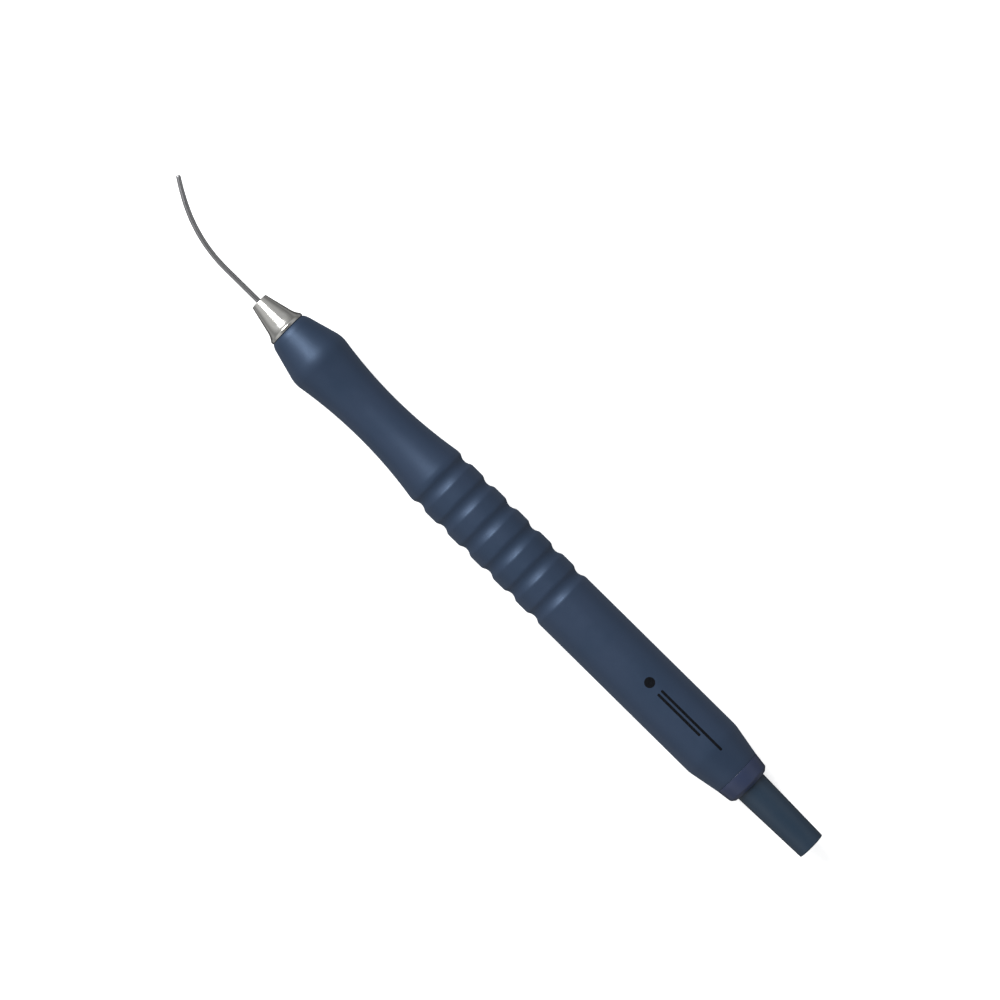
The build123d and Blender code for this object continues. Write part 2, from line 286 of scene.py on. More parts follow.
def grip_r(station):
    """Radius of the grip with those edges rounded."""
    spread = GROOVE_SPREAD
    if station > TAPER_START - EDGE_LEAD:
        spread = TAPER_SPREAD
    elif station < WAIST_END - EDGE_LEAD:
        at_shoulder = exp(-(((station - SHOULDER) / SHOULDER_REACH) ** 2))
        spread = LIP_SPREAD + SHOULDER_SPREAD * at_shoulder
    steps = range(-SAMPLES, SAMPLES + 1)
    weights = [exp(-(k / SAMPLES_PER_SPREAD) ** 2 / 2) for k in steps]
    total = 0.0
    for k, weight in zip(steps, weights):
        at = max(station + k * spread / SAMPLES_PER_SPREAD, GRIP_FRONT)
        total += weight * grip_raw(at)
    return total / sum(weights) - FILM


def span(start, end, step):
    """Evenly spaced stations from start to just before end."""
    count = max(1, round(abs(end - start) / step))
    return [start + (end - start) * i / count for i in range(count)]


def arc_points(start, heading, end, count):
    """Points of the arc that leaves start along heading and passes through end."""
    dx, dy = end[0] - start[0], end[1] - start[1]
    nx, ny = -heading[1], heading[0]
    r = (dx * dx + dy * dy) / (2 * (nx * dx + ny * dy))
    cx, cy = start[0] + nx * r, start[1] + ny * r
    a0 = atan2(start[1] - cy, start[0] - cx)
    a1 = atan2(end[1] - cy, end[0] - cx)
    angles = [a0 + (a1 - a0) * i / count for i in range(1, count + 1)]
    return [(cx + abs(r) * cos(a), cy + abs(r) * sin(a)) for a in angles]


NEARLY_STRAIGHT = pi - 0.02  # a corner as open as this stays as it is
RUN_SHARE = 0.49             # the most of a run that one corner's rounding takes


def outline(*corners, closed=True):
    """A polyline whose corners, given as (station, radius[, rounding]), are rounded off."""
    points = []
    last = len(corners) - 1
    for i, corner in enumerate(corners):
        here = Vector(corner[:2])
        rounding = corner[2] if len(corner) > 2 else 0.0
        if not rounding or (not closed and i in (0, last)):
            points.append(tuple(here))
            continue
        before = Vector(corners[i - 1][:2]) - here
        after = Vector(corners[(i + 1) % len(corners)][:2]) - here
        turn = before.angle(after)
        if turn > NEARLY_STRAIGHT:
            points.append(tuple(here))
            continue
        reach = rounding / tan(turn / 2)
        reach = min(reach, before.length * RUN_SHARE, after.length * RUN_SHARE)
        start = here + before.normalized() * reach
        end = here + after.normalized() * reach
        heading = -before.normalized()
        steps = max(2, round((pi - turn) / ARC_STEP))
        points.append(tuple(start))
        points += arc_points(tuple(start), tuple(heading), tuple(end), steps)
    return points


# --- Meshes ---


def place(station, radius, angle):
    """The point in metres at a station, radius and angle."""
    return Vector(
        (AXIS_X - station * MM, radius * MM * cos(angle), AXIS_Z + radius * MM * sin(angle))
    )


def add_grid(bm, rows, around=True, loop=False):
    """Faces between rows of points; around joins each row's ends, loop joins first row to last."""
    made = [[bm.verts.new(p) for p in row] for row in rows]
    row_count, count = len(made), len(made[0])
    for i in range(row_count if loop else row_count - 1):
        one, two = made[i], made[(i + 1) % row_count]
        for j in range(count if around else count - 1):
            k = (j + 1) % count
            bm.faces.new((one[j], one[k], two[k], two[j]))
    return made


def add_lathe(bm, points, segments, closed=True):
    """An outline turned about the axis."""
    angles = [2 * pi * j / segments for j in range(segments)]
    rows = [[place(s, r, a) for a in angles] for s, r in points]
    return add_grid(bm, rows, loop=closed)


def piece(name, bm, material, slot, body, *nodes):
    """Turns a bmesh into a finished object riding on a body, in place of CAD nodes."""
    bmesh.ops.remove_doubles(bm, verts=bm.verts, dist=WELD)
    bmesh.ops.recalc_face_normals(bm, faces=bm.faces)
    mesh = bpy.data.meshes.new(name)
    bm.to_mesh(mesh)
    bm.free()
    mesh.shade_smooth()
    mesh.set_sharp_from_angle(angle=SHARP_ANGLE)
    mesh.materials.append(material)
    obj = bpy.data.objects.new(name, mesh)
    bpy.context.scene.collection.objects.link(obj)
    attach(obj, body)
    if nodes:
        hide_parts(*nodes)


# one turn of a thread: (share of the pitch, share of the depth above the root)
THREAD_PROFILE = (
    (0.0, 1.0),
    (0.0625, 1.0),
    (0.2188, 0.5),
    (0.375, 0.0),
    (0.625, 0.0),
    (0.7812, 0.5),
    (0.9375, 1.0),
)


def add_thread(bm, crest, start, end, segments, end_r):
    """A right-hand thread between two stations, fading to a plain radius at both ends."""
    # more turns than fit, so that every column reaches both ends; what is past an end stays on it
    turns = int((end - start) / THREAD_PITCH) + 3
    columns = []
    for j in range(segments + 1):
        column = []
        for t in range(turns):
            for phase, height in THREAD_PROFILE:
                s = start + (t + phase - 1 - j / segments) * THREAD_PITCH
                s = min(max(s, start), end)
                fade = min(1.0, (s - start) / THREAD_FADE, (end - s) / THREAD_FADE)
                r = crest - THREAD_DEPTH * (1 - height)
                column.append(place(s, end_r + (r - end_r) * fade, 2 * pi * j / segments))
        columns.append(column)
    add_grid(bm, columns, around=False)


# --- Finishes ---

MIX_INPUTS = (0, 6, 7)       # of a Mix node: its factor and its two colours
MIX_COLOUR = 2               # its output of a colour
SCALE_INPUT = 3              # of a Vector Math node


def rgb(*levels):
    """A linear colour from sRGB levels of 0 to 255."""
    return tuple(((v / 255 + 0.055) / 1.055) ** 2.4 for v in levels) + (1.0,)


class Finish:
    """A material of procedural nodes round one Principled shader, in millimetres."""

    def __init__(self, name, **sockets):
        self.material = bpy.data.materials.new(name)
        self.material.use_nodes = True
        self.tree = self.material.node_tree
        self.shader = self.tree.nodes["Principled BSDF"]
        for socket, value in sockets.items():
            self.shader.inputs[socket.replace("_", " ")].default_value = value
        coordinates = self.add("ShaderNodeTexCoord").outputs
        self.uv = coordinates["UV"]
        centred = self.vector("SUBTRACT", coordinates["Object"], (0, 0, AXIS_Z))
        self.at = self.vector("SCALE", centred, scale=1 / MM)
        parts = self.add("ShaderNodeSeparateXYZ", self.at).outputs
        self.x, self.y, self.z = parts
        self.radius = self.math("SQRT", self.math("ADD", self.squared(self.y), self.squared(self.z)))
        self.height = None

    def add(self, kind, *inputs, **settings):
        """A node with its first inputs linked or set."""
        node = self.tree.nodes.new(kind)
        for key, value in settings.items():
            setattr(node, key, value)
        for socket, value in zip(node.inputs, inputs):
            self.feed(socket, value)
        return node

    def feed(self, socket, value):
        """Links another node's output to a socket, or sets the socket to a plain value."""
        if isinstance(value, bpy.types.NodeSocket):
            self.tree.links.new(value, socket)
        else:
            socket.default_value = value

    def math(self, operation, a, b=0.0):
        return self.add("ShaderNodeMath", a, b, operation=operation).outputs[0]

    def squared(self, value):
        return self.math("MULTIPLY", value, value)

    def vector(self, operation, a, b=(0, 0, 0), scale=1.0):
        node = self.add("ShaderNodeVectorMath", a, b, operation=operation)
        node.inputs[SCALE_INPUT].default_value = scale
        return node.outputs[0]

    def combine(self, x, y, z):
        return self.add("ShaderNodeCombineXYZ", x, y, z).outputs[0]

    def noise(self, where, scale, detail=2.0, roughness=0.5):
        """Noise of 0 to 1 with scale cells to the millimetre."""
        node = self.add("ShaderNodeTexNoise", where)
        node.inputs["Scale"].default_value = scale
        node.inputs["Detail"].default_value = detail
        node.inputs["Roughness"].default_value = roughness
        return node.outputs["Fac"]

    def level(self, value, low, high, to_low=0.0, to_high=1.0, smooth=False):
        """value stretched from low..high to to_low..to_high and held there outside it."""
        node = self.add("ShaderNodeMapRange", value, low, high, to_low, to_high)
        if smooth:
            node.interpolation_type = "SMOOTHSTEP"
        return node.outputs[0]

    def mix(self, share, one, two):
        """Two colours mixed, with a share of the second."""
        node = self.tree.nodes.new("ShaderNodeMix")
        node.data_type = "RGBA"
        for index, value in zip(MIX_INPUTS, (share, one, two)):
            self.feed(node.inputs[index], value)
        return node.outputs[MIX_COLOUR]

    def colour(self, value):
        self.feed(self.shader.inputs["Base Color"], value)

    def roughness(self, value):
        self.feed(self.shader.inputs["Roughness"], value)

    def relief(self, height, microns):
        """Adds a bump whose full height is given in thousandths of a millimetre."""
        scaled = self.math("MULTIPLY", height, microns * 1e-6)
        self.height = scaled if self.height is None else self.math("ADD", self.height, scaled)

    def done(self):
        """The material, with what relief() gathered as one bump."""
        if self.height is not None:
            bump = self.add("ShaderNodeBump")
            bump.inputs["Strength"].default_value = 1.0
            bump.inputs["Distance"].default_value = 1.0
            self.feed(bump.inputs["Height"], self.height)
            self.tree.links.new(bump.outputs[0], self.shader.inputs["Normal"])
        return self.material


# the grooved stretch of the grip, in millimetres along X
GROOVES_FRONT_X = AXIS_X / MM - WAIST_END
GROOVES_REAR_X = AXIS_X / MM - GROOVE_FIRST - GROOVE_COUNT * GROOVE_PITCH
GROOVE_ROUGHNESS = 0.15      # added at the floor of a groove
RIDGE_BAND = 0.08            # and faded out this far under the ridges


def silicone():
    """The grip's skin: fine grain, a little dust, polished by handling, with a mould seam."""
    f = Finish(
        "navy_silicone",
        IOR=1.47,
        Specular_IOR_Level=1.0,
        Specular_Tint=(0.5, 0.68, 1, 1),
        Sheen_Weight=0.1,
        Sheen_Roughness=0.4,
        Sheen_Tint=(0.6, 0.75, 1, 1),
    )
    drift = f.noise(f.at, scale=0.11, detail=2)
    base = f.mix(f.level(drift, 0.35, 0.65), rgb(28, 41, 60), rgb(33, 44, 63))
    dust = f.level(f.noise(f.at, scale=6.5, detail=3, roughness=0.7), 0.66, 0.8)
    f.colour(f.mix(f.math("MULTIPLY", dust, 0.35), base, rgb(80, 88, 104)))
    handled = f.noise(f.at, scale=0.5, detail=3)
    grain = f.noise(f.at, scale=9, detail=4, roughness=0.6)
    deep = f.level(f.radius, GRIP_R - GROOVE_DEPTH, GRIP_R - RIDGE_BAND, GROOVE_ROUGHNESS, 0.0)
    past_rear = f.level(f.x, GROOVES_REAR_X, GROOVES_REAR_X + 1)
    short_of_front = f.level(f.x, GROOVES_FRONT_X - 1, GROOVES_FRONT_X, 1.0, 0.0)
    in_grooves = f.math("MULTIPLY", deep, f.math("MULTIPLY", past_rear, short_of_front))
    polished = f.level(handled, 0.3, 0.7, 0.46, 0.53)
    speckled = f.level(grain, 0.3, 0.7, -0.03, 0.03)
    f.roughness(f.math("ADD", f.math("ADD", polished, speckled), in_grooves))
    f.relief(grain, microns=6)
    f.relief(f.noise(f.at, scale=1.1, detail=2), microns=8)
    seam = f.level(f.math("ABSOLUTE", f.z), 0.03, 0.09, 1.0, 0.0, smooth=True)
    f.relief(seam, microns=25)
    return f.done()


def resin(name, one, two, rough):
    """Moulded, satin-finished resin."""
    f = Finish(name, IOR=1.5, Specular_IOR_Level=0.45)
    drift = f.noise(f.at, scale=0.25, detail=3)
    base = f.mix(f.level(drift, 0.35, 0.65), one, two)
    fleck = f.level(f.noise(f.at, scale=5.0, detail=3, roughness=0.7), 0.64, 0.8)
    f.colour(f.mix(f.math("MULTIPLY", fleck, 0.3), base, rgb(92, 104, 118)))
    lengthwise = f.combine(f.x, f.math("MULTIPLY", f.y, 9), f.math("MULTIPLY", f.z, 9))
    brushed = f.noise(lengthwise, scale=1.4, detail=3)
    f.roughness(f.level(brushed, 0.3, 0.7, rough - 0.05, rough + 0.06))
    f.relief(brushed, microns=3)
    f.relief(f.noise(f.at, scale=8, detail=3), microns=4)
    return f.done()


def turned(name, colour, worn, rough, line_microns=1.2, lines=14.0):
    """Metal turned on a lathe: fine rings round the axis, a few smudges and hairlines."""
    f = Finish(name, Metallic=1.0)
    rings = f.noise(f.combine(f.x, f.radius, 0.0), scale=lines, detail=2, roughness=0.6)
    smudge = f.noise(f.at, scale=0.7, detail=3)
    f.colour(f.mix(f.level(smudge, 0.3, 0.7), colour, worn))
    lengthwise = f.combine(
        f.math("MULTIPLY", f.x, 0.7),
        f.math("MULTIPLY", f.y, 6),
        f.math("MULTIPLY", f.z, 6),
    )
    hair = f.noise(lengthwise, scale=2.2, detail=2)
    smudged = f.level(smudge, 0.35, 0.7, rough, rough * 1.45)
    ringed = f.level(rings, 0.3, 0.7, -0.02, 0.02)
    even = f.math("ADD", smudged, ringed)
    f.roughness(f.math("ADD", even, f.level(hair, 0.66, 0.74, 0.0, 0.05)))
    f.relief(rings, line_microns)
    return f.done()


def drawn(name, colour, worn, rough, bent=False):
    """Wire or tube pulled through a die: streaks along it, which follow the UVs of a bent one."""
    f = Finish(name, Metallic=1.0)
    where = f.uv if bent else f.combine(f.math("MULTIPLY", f.x, 0.05), f.y, f.z)
    streaks = f.noise(where, scale=9, detail=3, roughness=0.6)
    smudge = f.noise(f.at, scale=0.6, detail=3)
    f.colour(f.mix(f.level(smudge, 0.35, 0.7), colour, worn))
    streaked = f.level(streaks, 0.3, 0.7, rough - 0.05, rough + 0.05)
    f.roughness(f.math("ADD", streaked, f.level(smudge, 0.5, 0.8, 0.0, 0.08)))
    f.relief(streaks, microns=1.5)
    return f.done()


def rubber(name):
    """Black rubber with a faint grey bloom."""
    f = Finish(name, IOR=1.5, Specular_IOR_Level=0.4)
    bloom = f.noise(f.at, scale=1.6, detail=3)
    f.colour(f.mix(f.level(bloom, 0.4, 0.75), rgb(22, 22, 24), rgb(40, 40, 43)))
    f.roughness(f.level(bloom, 0.3, 0.7, 0.5, 0.68))
    f.relief(f.noise(f.at, scale=14, detail=2), microns=3)
    return f.done()


def ink(name):
    """Black printing ink that took unevenly."""
    f = Finish(name, IOR=1.5, Specular_IOR_Level=0.12)
    patchy = f.noise(f.at, scale=3.5, detail=3, roughness=0.7)
    f.colour(f.mix(f.level(patchy, 0.45, 0.75), rgb(6, 8, 12), rgb(18, 22, 30)))
    f.roughness(f.level(patchy, 0.3, 0.7, 0.42, 0.55))
    f.relief(patchy, microns=2)
    return f.done()


GRIP = silicone()
TAIL_RESIN = resin("navy_resin", rgb(29, 48, 66), rgb(33, 50, 67), rough=0.4)
COLLAR_RESIN = resin("collar_resin", rgb(39, 49, 76), rgb(44, 54, 81), rough=0.34)
POLISHED = turned("polished_steel", (0.62, 0.61, 0.59, 1), (0.55, 0.54, 0.51, 1), rough=0.17)
CHUCK = turned(
    "turned_steel", (0.52, 0.52, 0.52, 1), (0.44, 0.44, 0.43, 1), rough=0.26, line_microns=3.0, lines=9.0
)
SPRING = turned(
    "spring_steel", (0.36, 0.37, 0.39, 1), (0.3, 0.31, 0.32, 1), rough=0.28, line_microns=2.0
)
BRASS = turned(
    "brass", (0.72, 0.53, 0.26, 1), (0.6, 0.43, 0.21, 1), rough=0.24, line_microns=3.0, lines=8.0
)
WIRE = drawn("wire_steel", (0.36, 0.36, 0.37, 1), (0.3, 0.3, 0.31, 1), rough=0.26, bent=True)
TUBE = drawn("tube_steel", (0.55, 0.55, 0.55, 1), (0.5, 0.5, 0.49, 1), rough=0.3)
SEAL = rubber("seal_rubber")
INK = ink("print_ink")

# the CAD nodes whose shape stays as it is
for node, finish in (
    ("glide_ring", BRASS),
    ("chuck_insert", BRASS),
    ("stiffening_tube", TUBE),
    ("tip_stop_screw", CHUCK),
    ("plug_seal", SEAL),
):
    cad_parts[node].material_slots[0].material = finish

# --- Handle core, with its ribs and exposed tail ---

core = [
    (CORE_FRONT, BORE_R),
    (CORE_FRONT, CORE_FRONT_R),
    (CORE_FRONT + CORE_CHAMFER, CORE_R),
]
for n in range(RIB_COUNT):
    rib = RIB_FIRST + RIB_PITCH * n
    core += [
        (rib, CORE_R),
        (rib, CORE_R + RIB_HEIGHT),
        (rib + RIB_WIDTH, CORE_R + RIB_HEIGHT),
        (rib + RIB_WIDTH, CORE_R),
    ]
core += [
    (NECK, CORE_R, 1.0),
    (COLLAR_FRONT, tail_r(COLLAR_FRONT)),
    *bead(0.0),
    (COLLAR_REAR, tail_r(COLLAR_REAR)),
    (TAIL, TAIL_R, 0.25),
    (TAIL, BORE_R, 0.12),
    (POCKET_REAR, BORE_R),
    (POCKET_REAR, TUBE_R),
    (POCKET_FRONT, TUBE_R),
    (POCKET_FRONT, BORE_R),
]
bm = bmesh.new()
add_lathe(bm, outline(*core), CORE_SEGMENTS)
piece("core_moulding", bm, TAIL_RESIN, "navy_resin", "handle", "handle_core")

# --- Grip sleeve ---

# where each stretch of the grip's outside starts, and how closely it is sampled
STRETCHES = (
    (0.2, 0.12),
    (1.8, 0.4),
    (5.5, 0.2),
    (11.0, 0.7),
    (35.6, 0.1),
    (GROOVES_END, 2.5),
    (104.5, 0.3),
    (109.0, 0.8),
)
ends = [start for start, _ in STRETCHES[1:]] + [COLLAR_FRONT - 0.12]
stations = []
for (start, step), end in zip(STRETCHES, ends):
    stations += span(start, end, step)
rear_r = taper_r(COLLAR_FRONT) - FILM
sleeve = [
    (CORE_FRONT, FLANGE_R + SLIP),
    (GRIP_FRONT + 0.06, FLANGE_R + SLIP),
    (GRIP_FRONT, FLANGE_R + 0.1),
    (GRIP_FRONT, LIP_R - 0.12),
    (GRIP_FRONT + 0.03, LIP_R - 0.04),
    (GRIP_FRONT + 0.08, LIP_R + 0.02),
    *[(s, grip_r(s)) for s in stations],
    (COLLAR_FRONT - 0.03, rear_r + 0.01),
    (COLLAR_FRONT + 0.03, rear_r - 0.02),
    (SLEEVE_REAR, rear_r - 0.07),
    (SLEEVE_REAR, tail_r(COLLAR_FRONT)),
    (NECK, CORE_R),
    (CORE_FRONT + CORE_CHAMFER, CORE_R),
    (CORE_FRONT, CORE_FRONT_R),
]
bm = bmesh.new()
add_lathe(bm, sleeve, WIDE_SEGMENTS)
piece("silicone_grip", bm, GRIP, "navy_silicone", "handle", "grip_sleeve")

# --- Collar ---

COLLAR_ROOM = 0.01           # between the collar and the tail that it sits on
collar = [
    (COLLAR_FACE, tail_r(COLLAR_FACE)),
    (COLLAR_FACE, collar_r(COLLAR_FACE), 0.06),
    (COLLAR_LIP, collar_r(COLLAR_LIP), 0.5),
    (COLLAR_REAR, COLLAR_REAR_R, 0.3),
    (COLLAR_REAR, tail_r(COLLAR_REAR) + COLLAR_ROOM, 0.04),
    *reversed(bead(COLLAR_ROOM)),
]
bm = bmesh.new()
add_lathe(bm, outline(*collar), WIDE_SEGMENTS)
piece("end_ring", bm, COLLAR_RESIN, "collar_resin", "handle", "sleeve_collar")

# --- Tail plug with a driver slot ---

plug_rear = TAIL - PLUG_RECESS
plug_front = plug_rear - PLUG_LENGTH
groove_front = plug_front + PLUG_GROOVE
groove_rear = groove_front + PLUG_GROOVE_WIDTH
plug = outline(
    (plug_front, BORE_R - 0.15),
    (plug_front + PLUG_CHAMFER, PLUG_R),
    (groove_front, PLUG_R, 0.05),
    (groove_front, PLUG_GROOVE_R, 0.05),
    (groove_rear, PLUG_GROOVE_R, 0.05),
    (groove_rear, PLUG_R, 0.05),
    (plug_rear, PLUG_R, 0.15),
    (plug_rear, PLUG_FACE_R),
    closed=False,
)
bm = bmesh.new()
rows = add_lathe(bm, plug, SLIM_SEGMENTS, closed=False)
bm.faces.new(rows[0])
# the slotted face: a ring of points pulled on to the slot's outline, then its walls and floor
slot_edge = []
for j in range(SLIM_SEGMENTS):
    a = 2 * pi * j / SLIM_SEGMENTS
    c, s = cos(a), sin(a)
    reach = min(DRIVER_HALF_LENGTH / max(abs(s), 1e-6), DRIVER_HALF_WIDTH / max(abs(c), 1e-6))
    slot_edge.append(Vector((AXIS_X - plug_rear * MM, reach * c * MM, AXIS_Z + reach * s * MM)))
slot_floor = [p + Vector((DRIVER_DEPTH * MM, 0, 0)) for p in slot_edge]
made = add_grid(bm, [[v.co.copy() for v in rows[-1]], slot_edge, slot_floor])
bm.faces.new(made[-1])
piece("slotted_plug", bm, CHUCK, "turned_steel", "handle", "tail_plug")

# --- Chuck body: male thread, flange with its seal groove, stem ---

chuck = outline(
    (CHUCK_THREAD_REAR, THREAD_ROOT),
    (FLANGE_FRONT, THREAD_ROOT + 0.04, 0.1),
    (FLANGE_FRONT, SEAL_R - SEAL_GROOVE_HALF, 0.03),
    (FLANGE_FRONT + SEAL_GROOVE_DEPTH, SEAL_R - SEAL_GROOVE_HALF),
    (FLANGE_FRONT + SEAL_GROOVE_DEPTH, SEAL_R + SEAL_GROOVE_HALF),
    (FLANGE_FRONT, SEAL_R + SEAL_GROOVE_HALF, 0.03),
    (FLANGE_FRONT, FLANGE_R, 0.1),
    (CORE_FRONT, FLANGE_R, 0.05),
    (CORE_FRONT, BORE_R),
    (CHUCK_REAR, BORE_R, 0.2),
    (CHUCK_REAR, STOP_R),
    (STOP_BORE_FRONT, STOP_R),
    (STOP_BORE_FRONT, SHANK_BORE_R),
    (COLLET_REAR + COLLET_GAP, SHANK_BORE_R),
    (COLLET_REAR + COLLET_GAP, COLLET_R + SLIP),
    (CHUCK_FRONT, COLLET_R + SLIP, 0.05),
    (CHUCK_FRONT, THREAD_ROOT - 0.06, 0.08),
    (CHUCK_THREAD_FRONT, THREAD_ROOT),
    closed=False,
)
bm = bmesh.new()
add_lathe(bm, chuck, SLIM_SEGMENTS, closed=False)
add_thread(bm, THREAD_CREST, CHUCK_THREAD_FRONT, CHUCK_THREAD_REAR, SLIM_SEGMENTS, THREAD_ROOT)
piece("threaded_chuck", bm, CHUCK, "turned_steel", "handle", "chuck_body")

# --- O-ring in the flange's groove ---

seal_station = FLANGE_FRONT + SEAL_GROOVE_DEPTH / 2
seal = []
for i in range(CORD_SEGMENTS):
    a = 2 * pi * i / CORD_SEGMENTS
    seal.append((seal_station + SEAL_CORD_R * cos(a), SEAL_R + SEAL_CORD_R * sin(a)))
bm = bmesh.new()
add_lathe(bm, seal, SLIM_SEGMENTS)
piece("cap_o_ring", bm, SEAL, "seal_rubber", "handle", "cap_seal")

# --- Collet: four jaws, joined behind the slots ---


def collet_row(station, radius):
    """Points round the four jaws, which stop short of the slots between them."""
    edge = asin(SLOT_HALF / radius)
    points = []
    for quarter in range(4):
        low = quarter * pi / 2 + pi / 4 + edge
        reach = pi / 2 - 2 * edge
        points += [place(station, radius, low + reach * j / JAW_STEPS) for j in range(JAW_STEPS + 1)]
    return points


jaws = outline(
    (SLOT_END, COLLET_BORE),
    (COLLET_FRONT, COLLET_BORE, 0.05),
    (COLLET_FRONT, COLLET_NOSE_R, 0.1),
    (CONE_FRONT, COLLET_NOSE_R),
    (CONE_REAR, COLLET_R),
    (SLOT_END, COLLET_R),
    closed=False,
)
shank = outline(
    (SLOT_END, COLLET_R),
    (COLLET_REAR, COLLET_R, 0.1),
    (COLLET_REAR, COLLET_BORE, 0.05),
    (SLOT_END, COLLET_BORE),
    closed=False,
)
bm = bmesh.new()
rings = [[bm.verts.new(p) for p in collet_row(s, r)] for s, r in jaws + shank[1:-1]]
inner, outer = rings[0], rings[len(jaws) - 1]
for i, one in enumerate(rings):
    two = rings[(i + 1) % len(rings)]
    slotted = i < len(jaws) - 1
    for j in range(len(one)):
        k = (j + 1) % len(one)
        # k is a jaw's first point only across a slot
        if not slotted or k % (JAW_STEPS + 1):
            bm.faces.new((one[j], one[k], two[k], two[j]))
# the sides of each jaw, and the end of the slot beside it
for first in range(0, len(inner), JAW_STEPS + 1):
    last = first + JAW_STEPS
    beyond = (last + 1) % len(inner)
    for column in (first, last):
        bm.faces.new([ring[column] for ring in rings[: len(jaws)]])
    bm.faces.new((inner[last], inner[beyond], outer[beyond], outer[last]))
piece("slotted_collet", bm, SPRING, "spring_steel", "collet", "collet")

# --- Nose cap ---

cone_r = CAP_TIP_R + (CAP_FLARE - CAP_FRONT) * tan(CAP_SLOPE)
cone_heading = (cos(CAP_SLOPE), sin(CAP_SLOPE))
flare = arc_points((CAP_FLARE, cone_r), cone_heading, (FLARE_END, CAP_RIM_R), FLARE_STEPS)
bore_r = THREAD_CREST + FIT
cap = outline(
    (CAP_THREAD_FRONT, bore_r),
    (SEAT_REAR, bore_r),
    (SEAT_REAR, SEAT_R),
    (SEAT_FRONT, SEAT_R),
    (SEAT_FRONT, CAP_BORE_R),
    (CAP_FRONT, CAP_BORE_R, 0.08),
    (CAP_FRONT, CAP_TIP_R, 0.18),
    (CAP_FLARE, cone_r),
    *flare[:-1],
    (FLARE_END, CAP_RIM_R, 0.05),
    (FLARE_END + 0.12, CAP_BASE_R, 0.1),
    (0.0, CAP_BASE_R, 0.1),
    (0.0, bore_r + CAP_MOUTH, 0.05),
    (-CAP_MOUTH, bore_r),
    closed=False,
)
bm = bmesh.new()
add_lathe(bm, cap, WIDE_SEGMENTS, closed=False)
add_thread(bm, bore_r, CAP_THREAD_FRONT, -CAP_MOUTH, WIDE_SEGMENTS, bore_r)
piece("nose_cone", bm, POLISHED, "polished_steel", "cap", "nose_cap")

# --- Wire tip ---


def wire_rings():
    """Rings along the wire from its rear end: (station, distance aside, heading, radius)."""
    rings = [(WIRE_REAR - inward, 0.0, 0.0, WIRE_R - thinner) for inward, thinner in WIRE_REAR_EDGE]
    rings += [(s, 0.0, 0.0, WIRE_R) for s in span(WIRE_REAR - 1.0, WIRE_BEND, WIRE_STEP)]
    for i in range(BEND_STEPS + 1):
        a = BEND_ANGLE * i / BEND_STEPS
        rings.append((WIRE_BEND - BEND_R * sin(a), BEND_R * (1 - cos(a)), a, WIRE_R))
    bend_station, bend_aside = rings[-1][:2]
    for i in range(1, HOOK_STEPS + 1):
        a = BEND_ANGLE + HOOK_ANGLE * i / HOOK_STEPS
        station = bend_station - HOOK_R * (sin(a) - sin(BEND_ANGLE))
        aside = bend_aside + HOOK_R * (cos(BEND_ANGLE) - cos(a))
        radius = WIRE_R + (WIRE_END_R - WIRE_R) * i / HOOK_STEPS
        rings.append((station, aside, a, radius))
    # the last ring gives way to those of the rounded tip
    station, aside, heading, _ = rings.pop()
    for i in range(TIP_STEPS + 1):
        a = pi / 2 * i / TIP_STEPS
        back = WIRE_TIP_ROUND * (1 - sin(a))
        radius = WIRE_END_R - WIRE_TIP_ROUND * (1 - cos(a))
        rings.append((station + back * cos(heading), aside - back * sin(heading), heading, radius))
    return rings


def wire_row(station, aside, heading, radius):
    """Points round the wire, square to its line."""
    centre = Vector((AXIS_X - station * MM, -aside * MM, AXIS_Z))
    out = Vector((-sin(heading), -cos(heading), 0))
    up = Vector((0, 0, 1))
    angles = [2 * pi * j / WIRE_SEGMENTS for j in range(WIRE_SEGMENTS)]
    return [centre + (out * cos(a) + up * sin(a)) * radius * MM for a in angles]


STREAK_SQUEEZE = 0.03        # of the UVs along the wire, so that its streaks run lengthwise
bm = bmesh.new()
uv_layer = bm.loops.layers.uv.new("uv")
rings = wire_rings()
verts = [[bm.verts.new(p) for p in wire_row(*ring)] for ring in rings]
run = [0.0]
for one, two in zip(rings, rings[1:]):
    run.append(run[-1] + hypot(two[0] - one[0], two[1] - one[1]))
for i in range(len(verts) - 1):
    for j in range(WIRE_SEGMENTS):
        k = (j + 1) % WIRE_SEGMENTS
        face = bm.faces.new((verts[i][j], verts[i][k], verts[i + 1][k], verts[i + 1][j]))
        corners = ((i, j), (i, j + 1), (i + 1, j + 1), (i + 1, j))
        for loop, (row, column) in zip(face.loops, corners):
            loop[uv_layer].uv = (run[row] * STREAK_SQUEEZE, 2 * WIRE_R * column / WIRE_SEGMENTS * pi)
bm.faces.new(verts[0])
bm.faces.new(verts[-1])
piece("bent_wire", bm, WIRE, "wire_steel", "tip", "explorer_tip")

# --- Generic printed mark on the barrel: a dot and two bars ---

INK_TOP = FILM - 0.001       # above the silicone, and still inside its CAD radius
INK_ROOT = 0.01              # under the silicone's surface


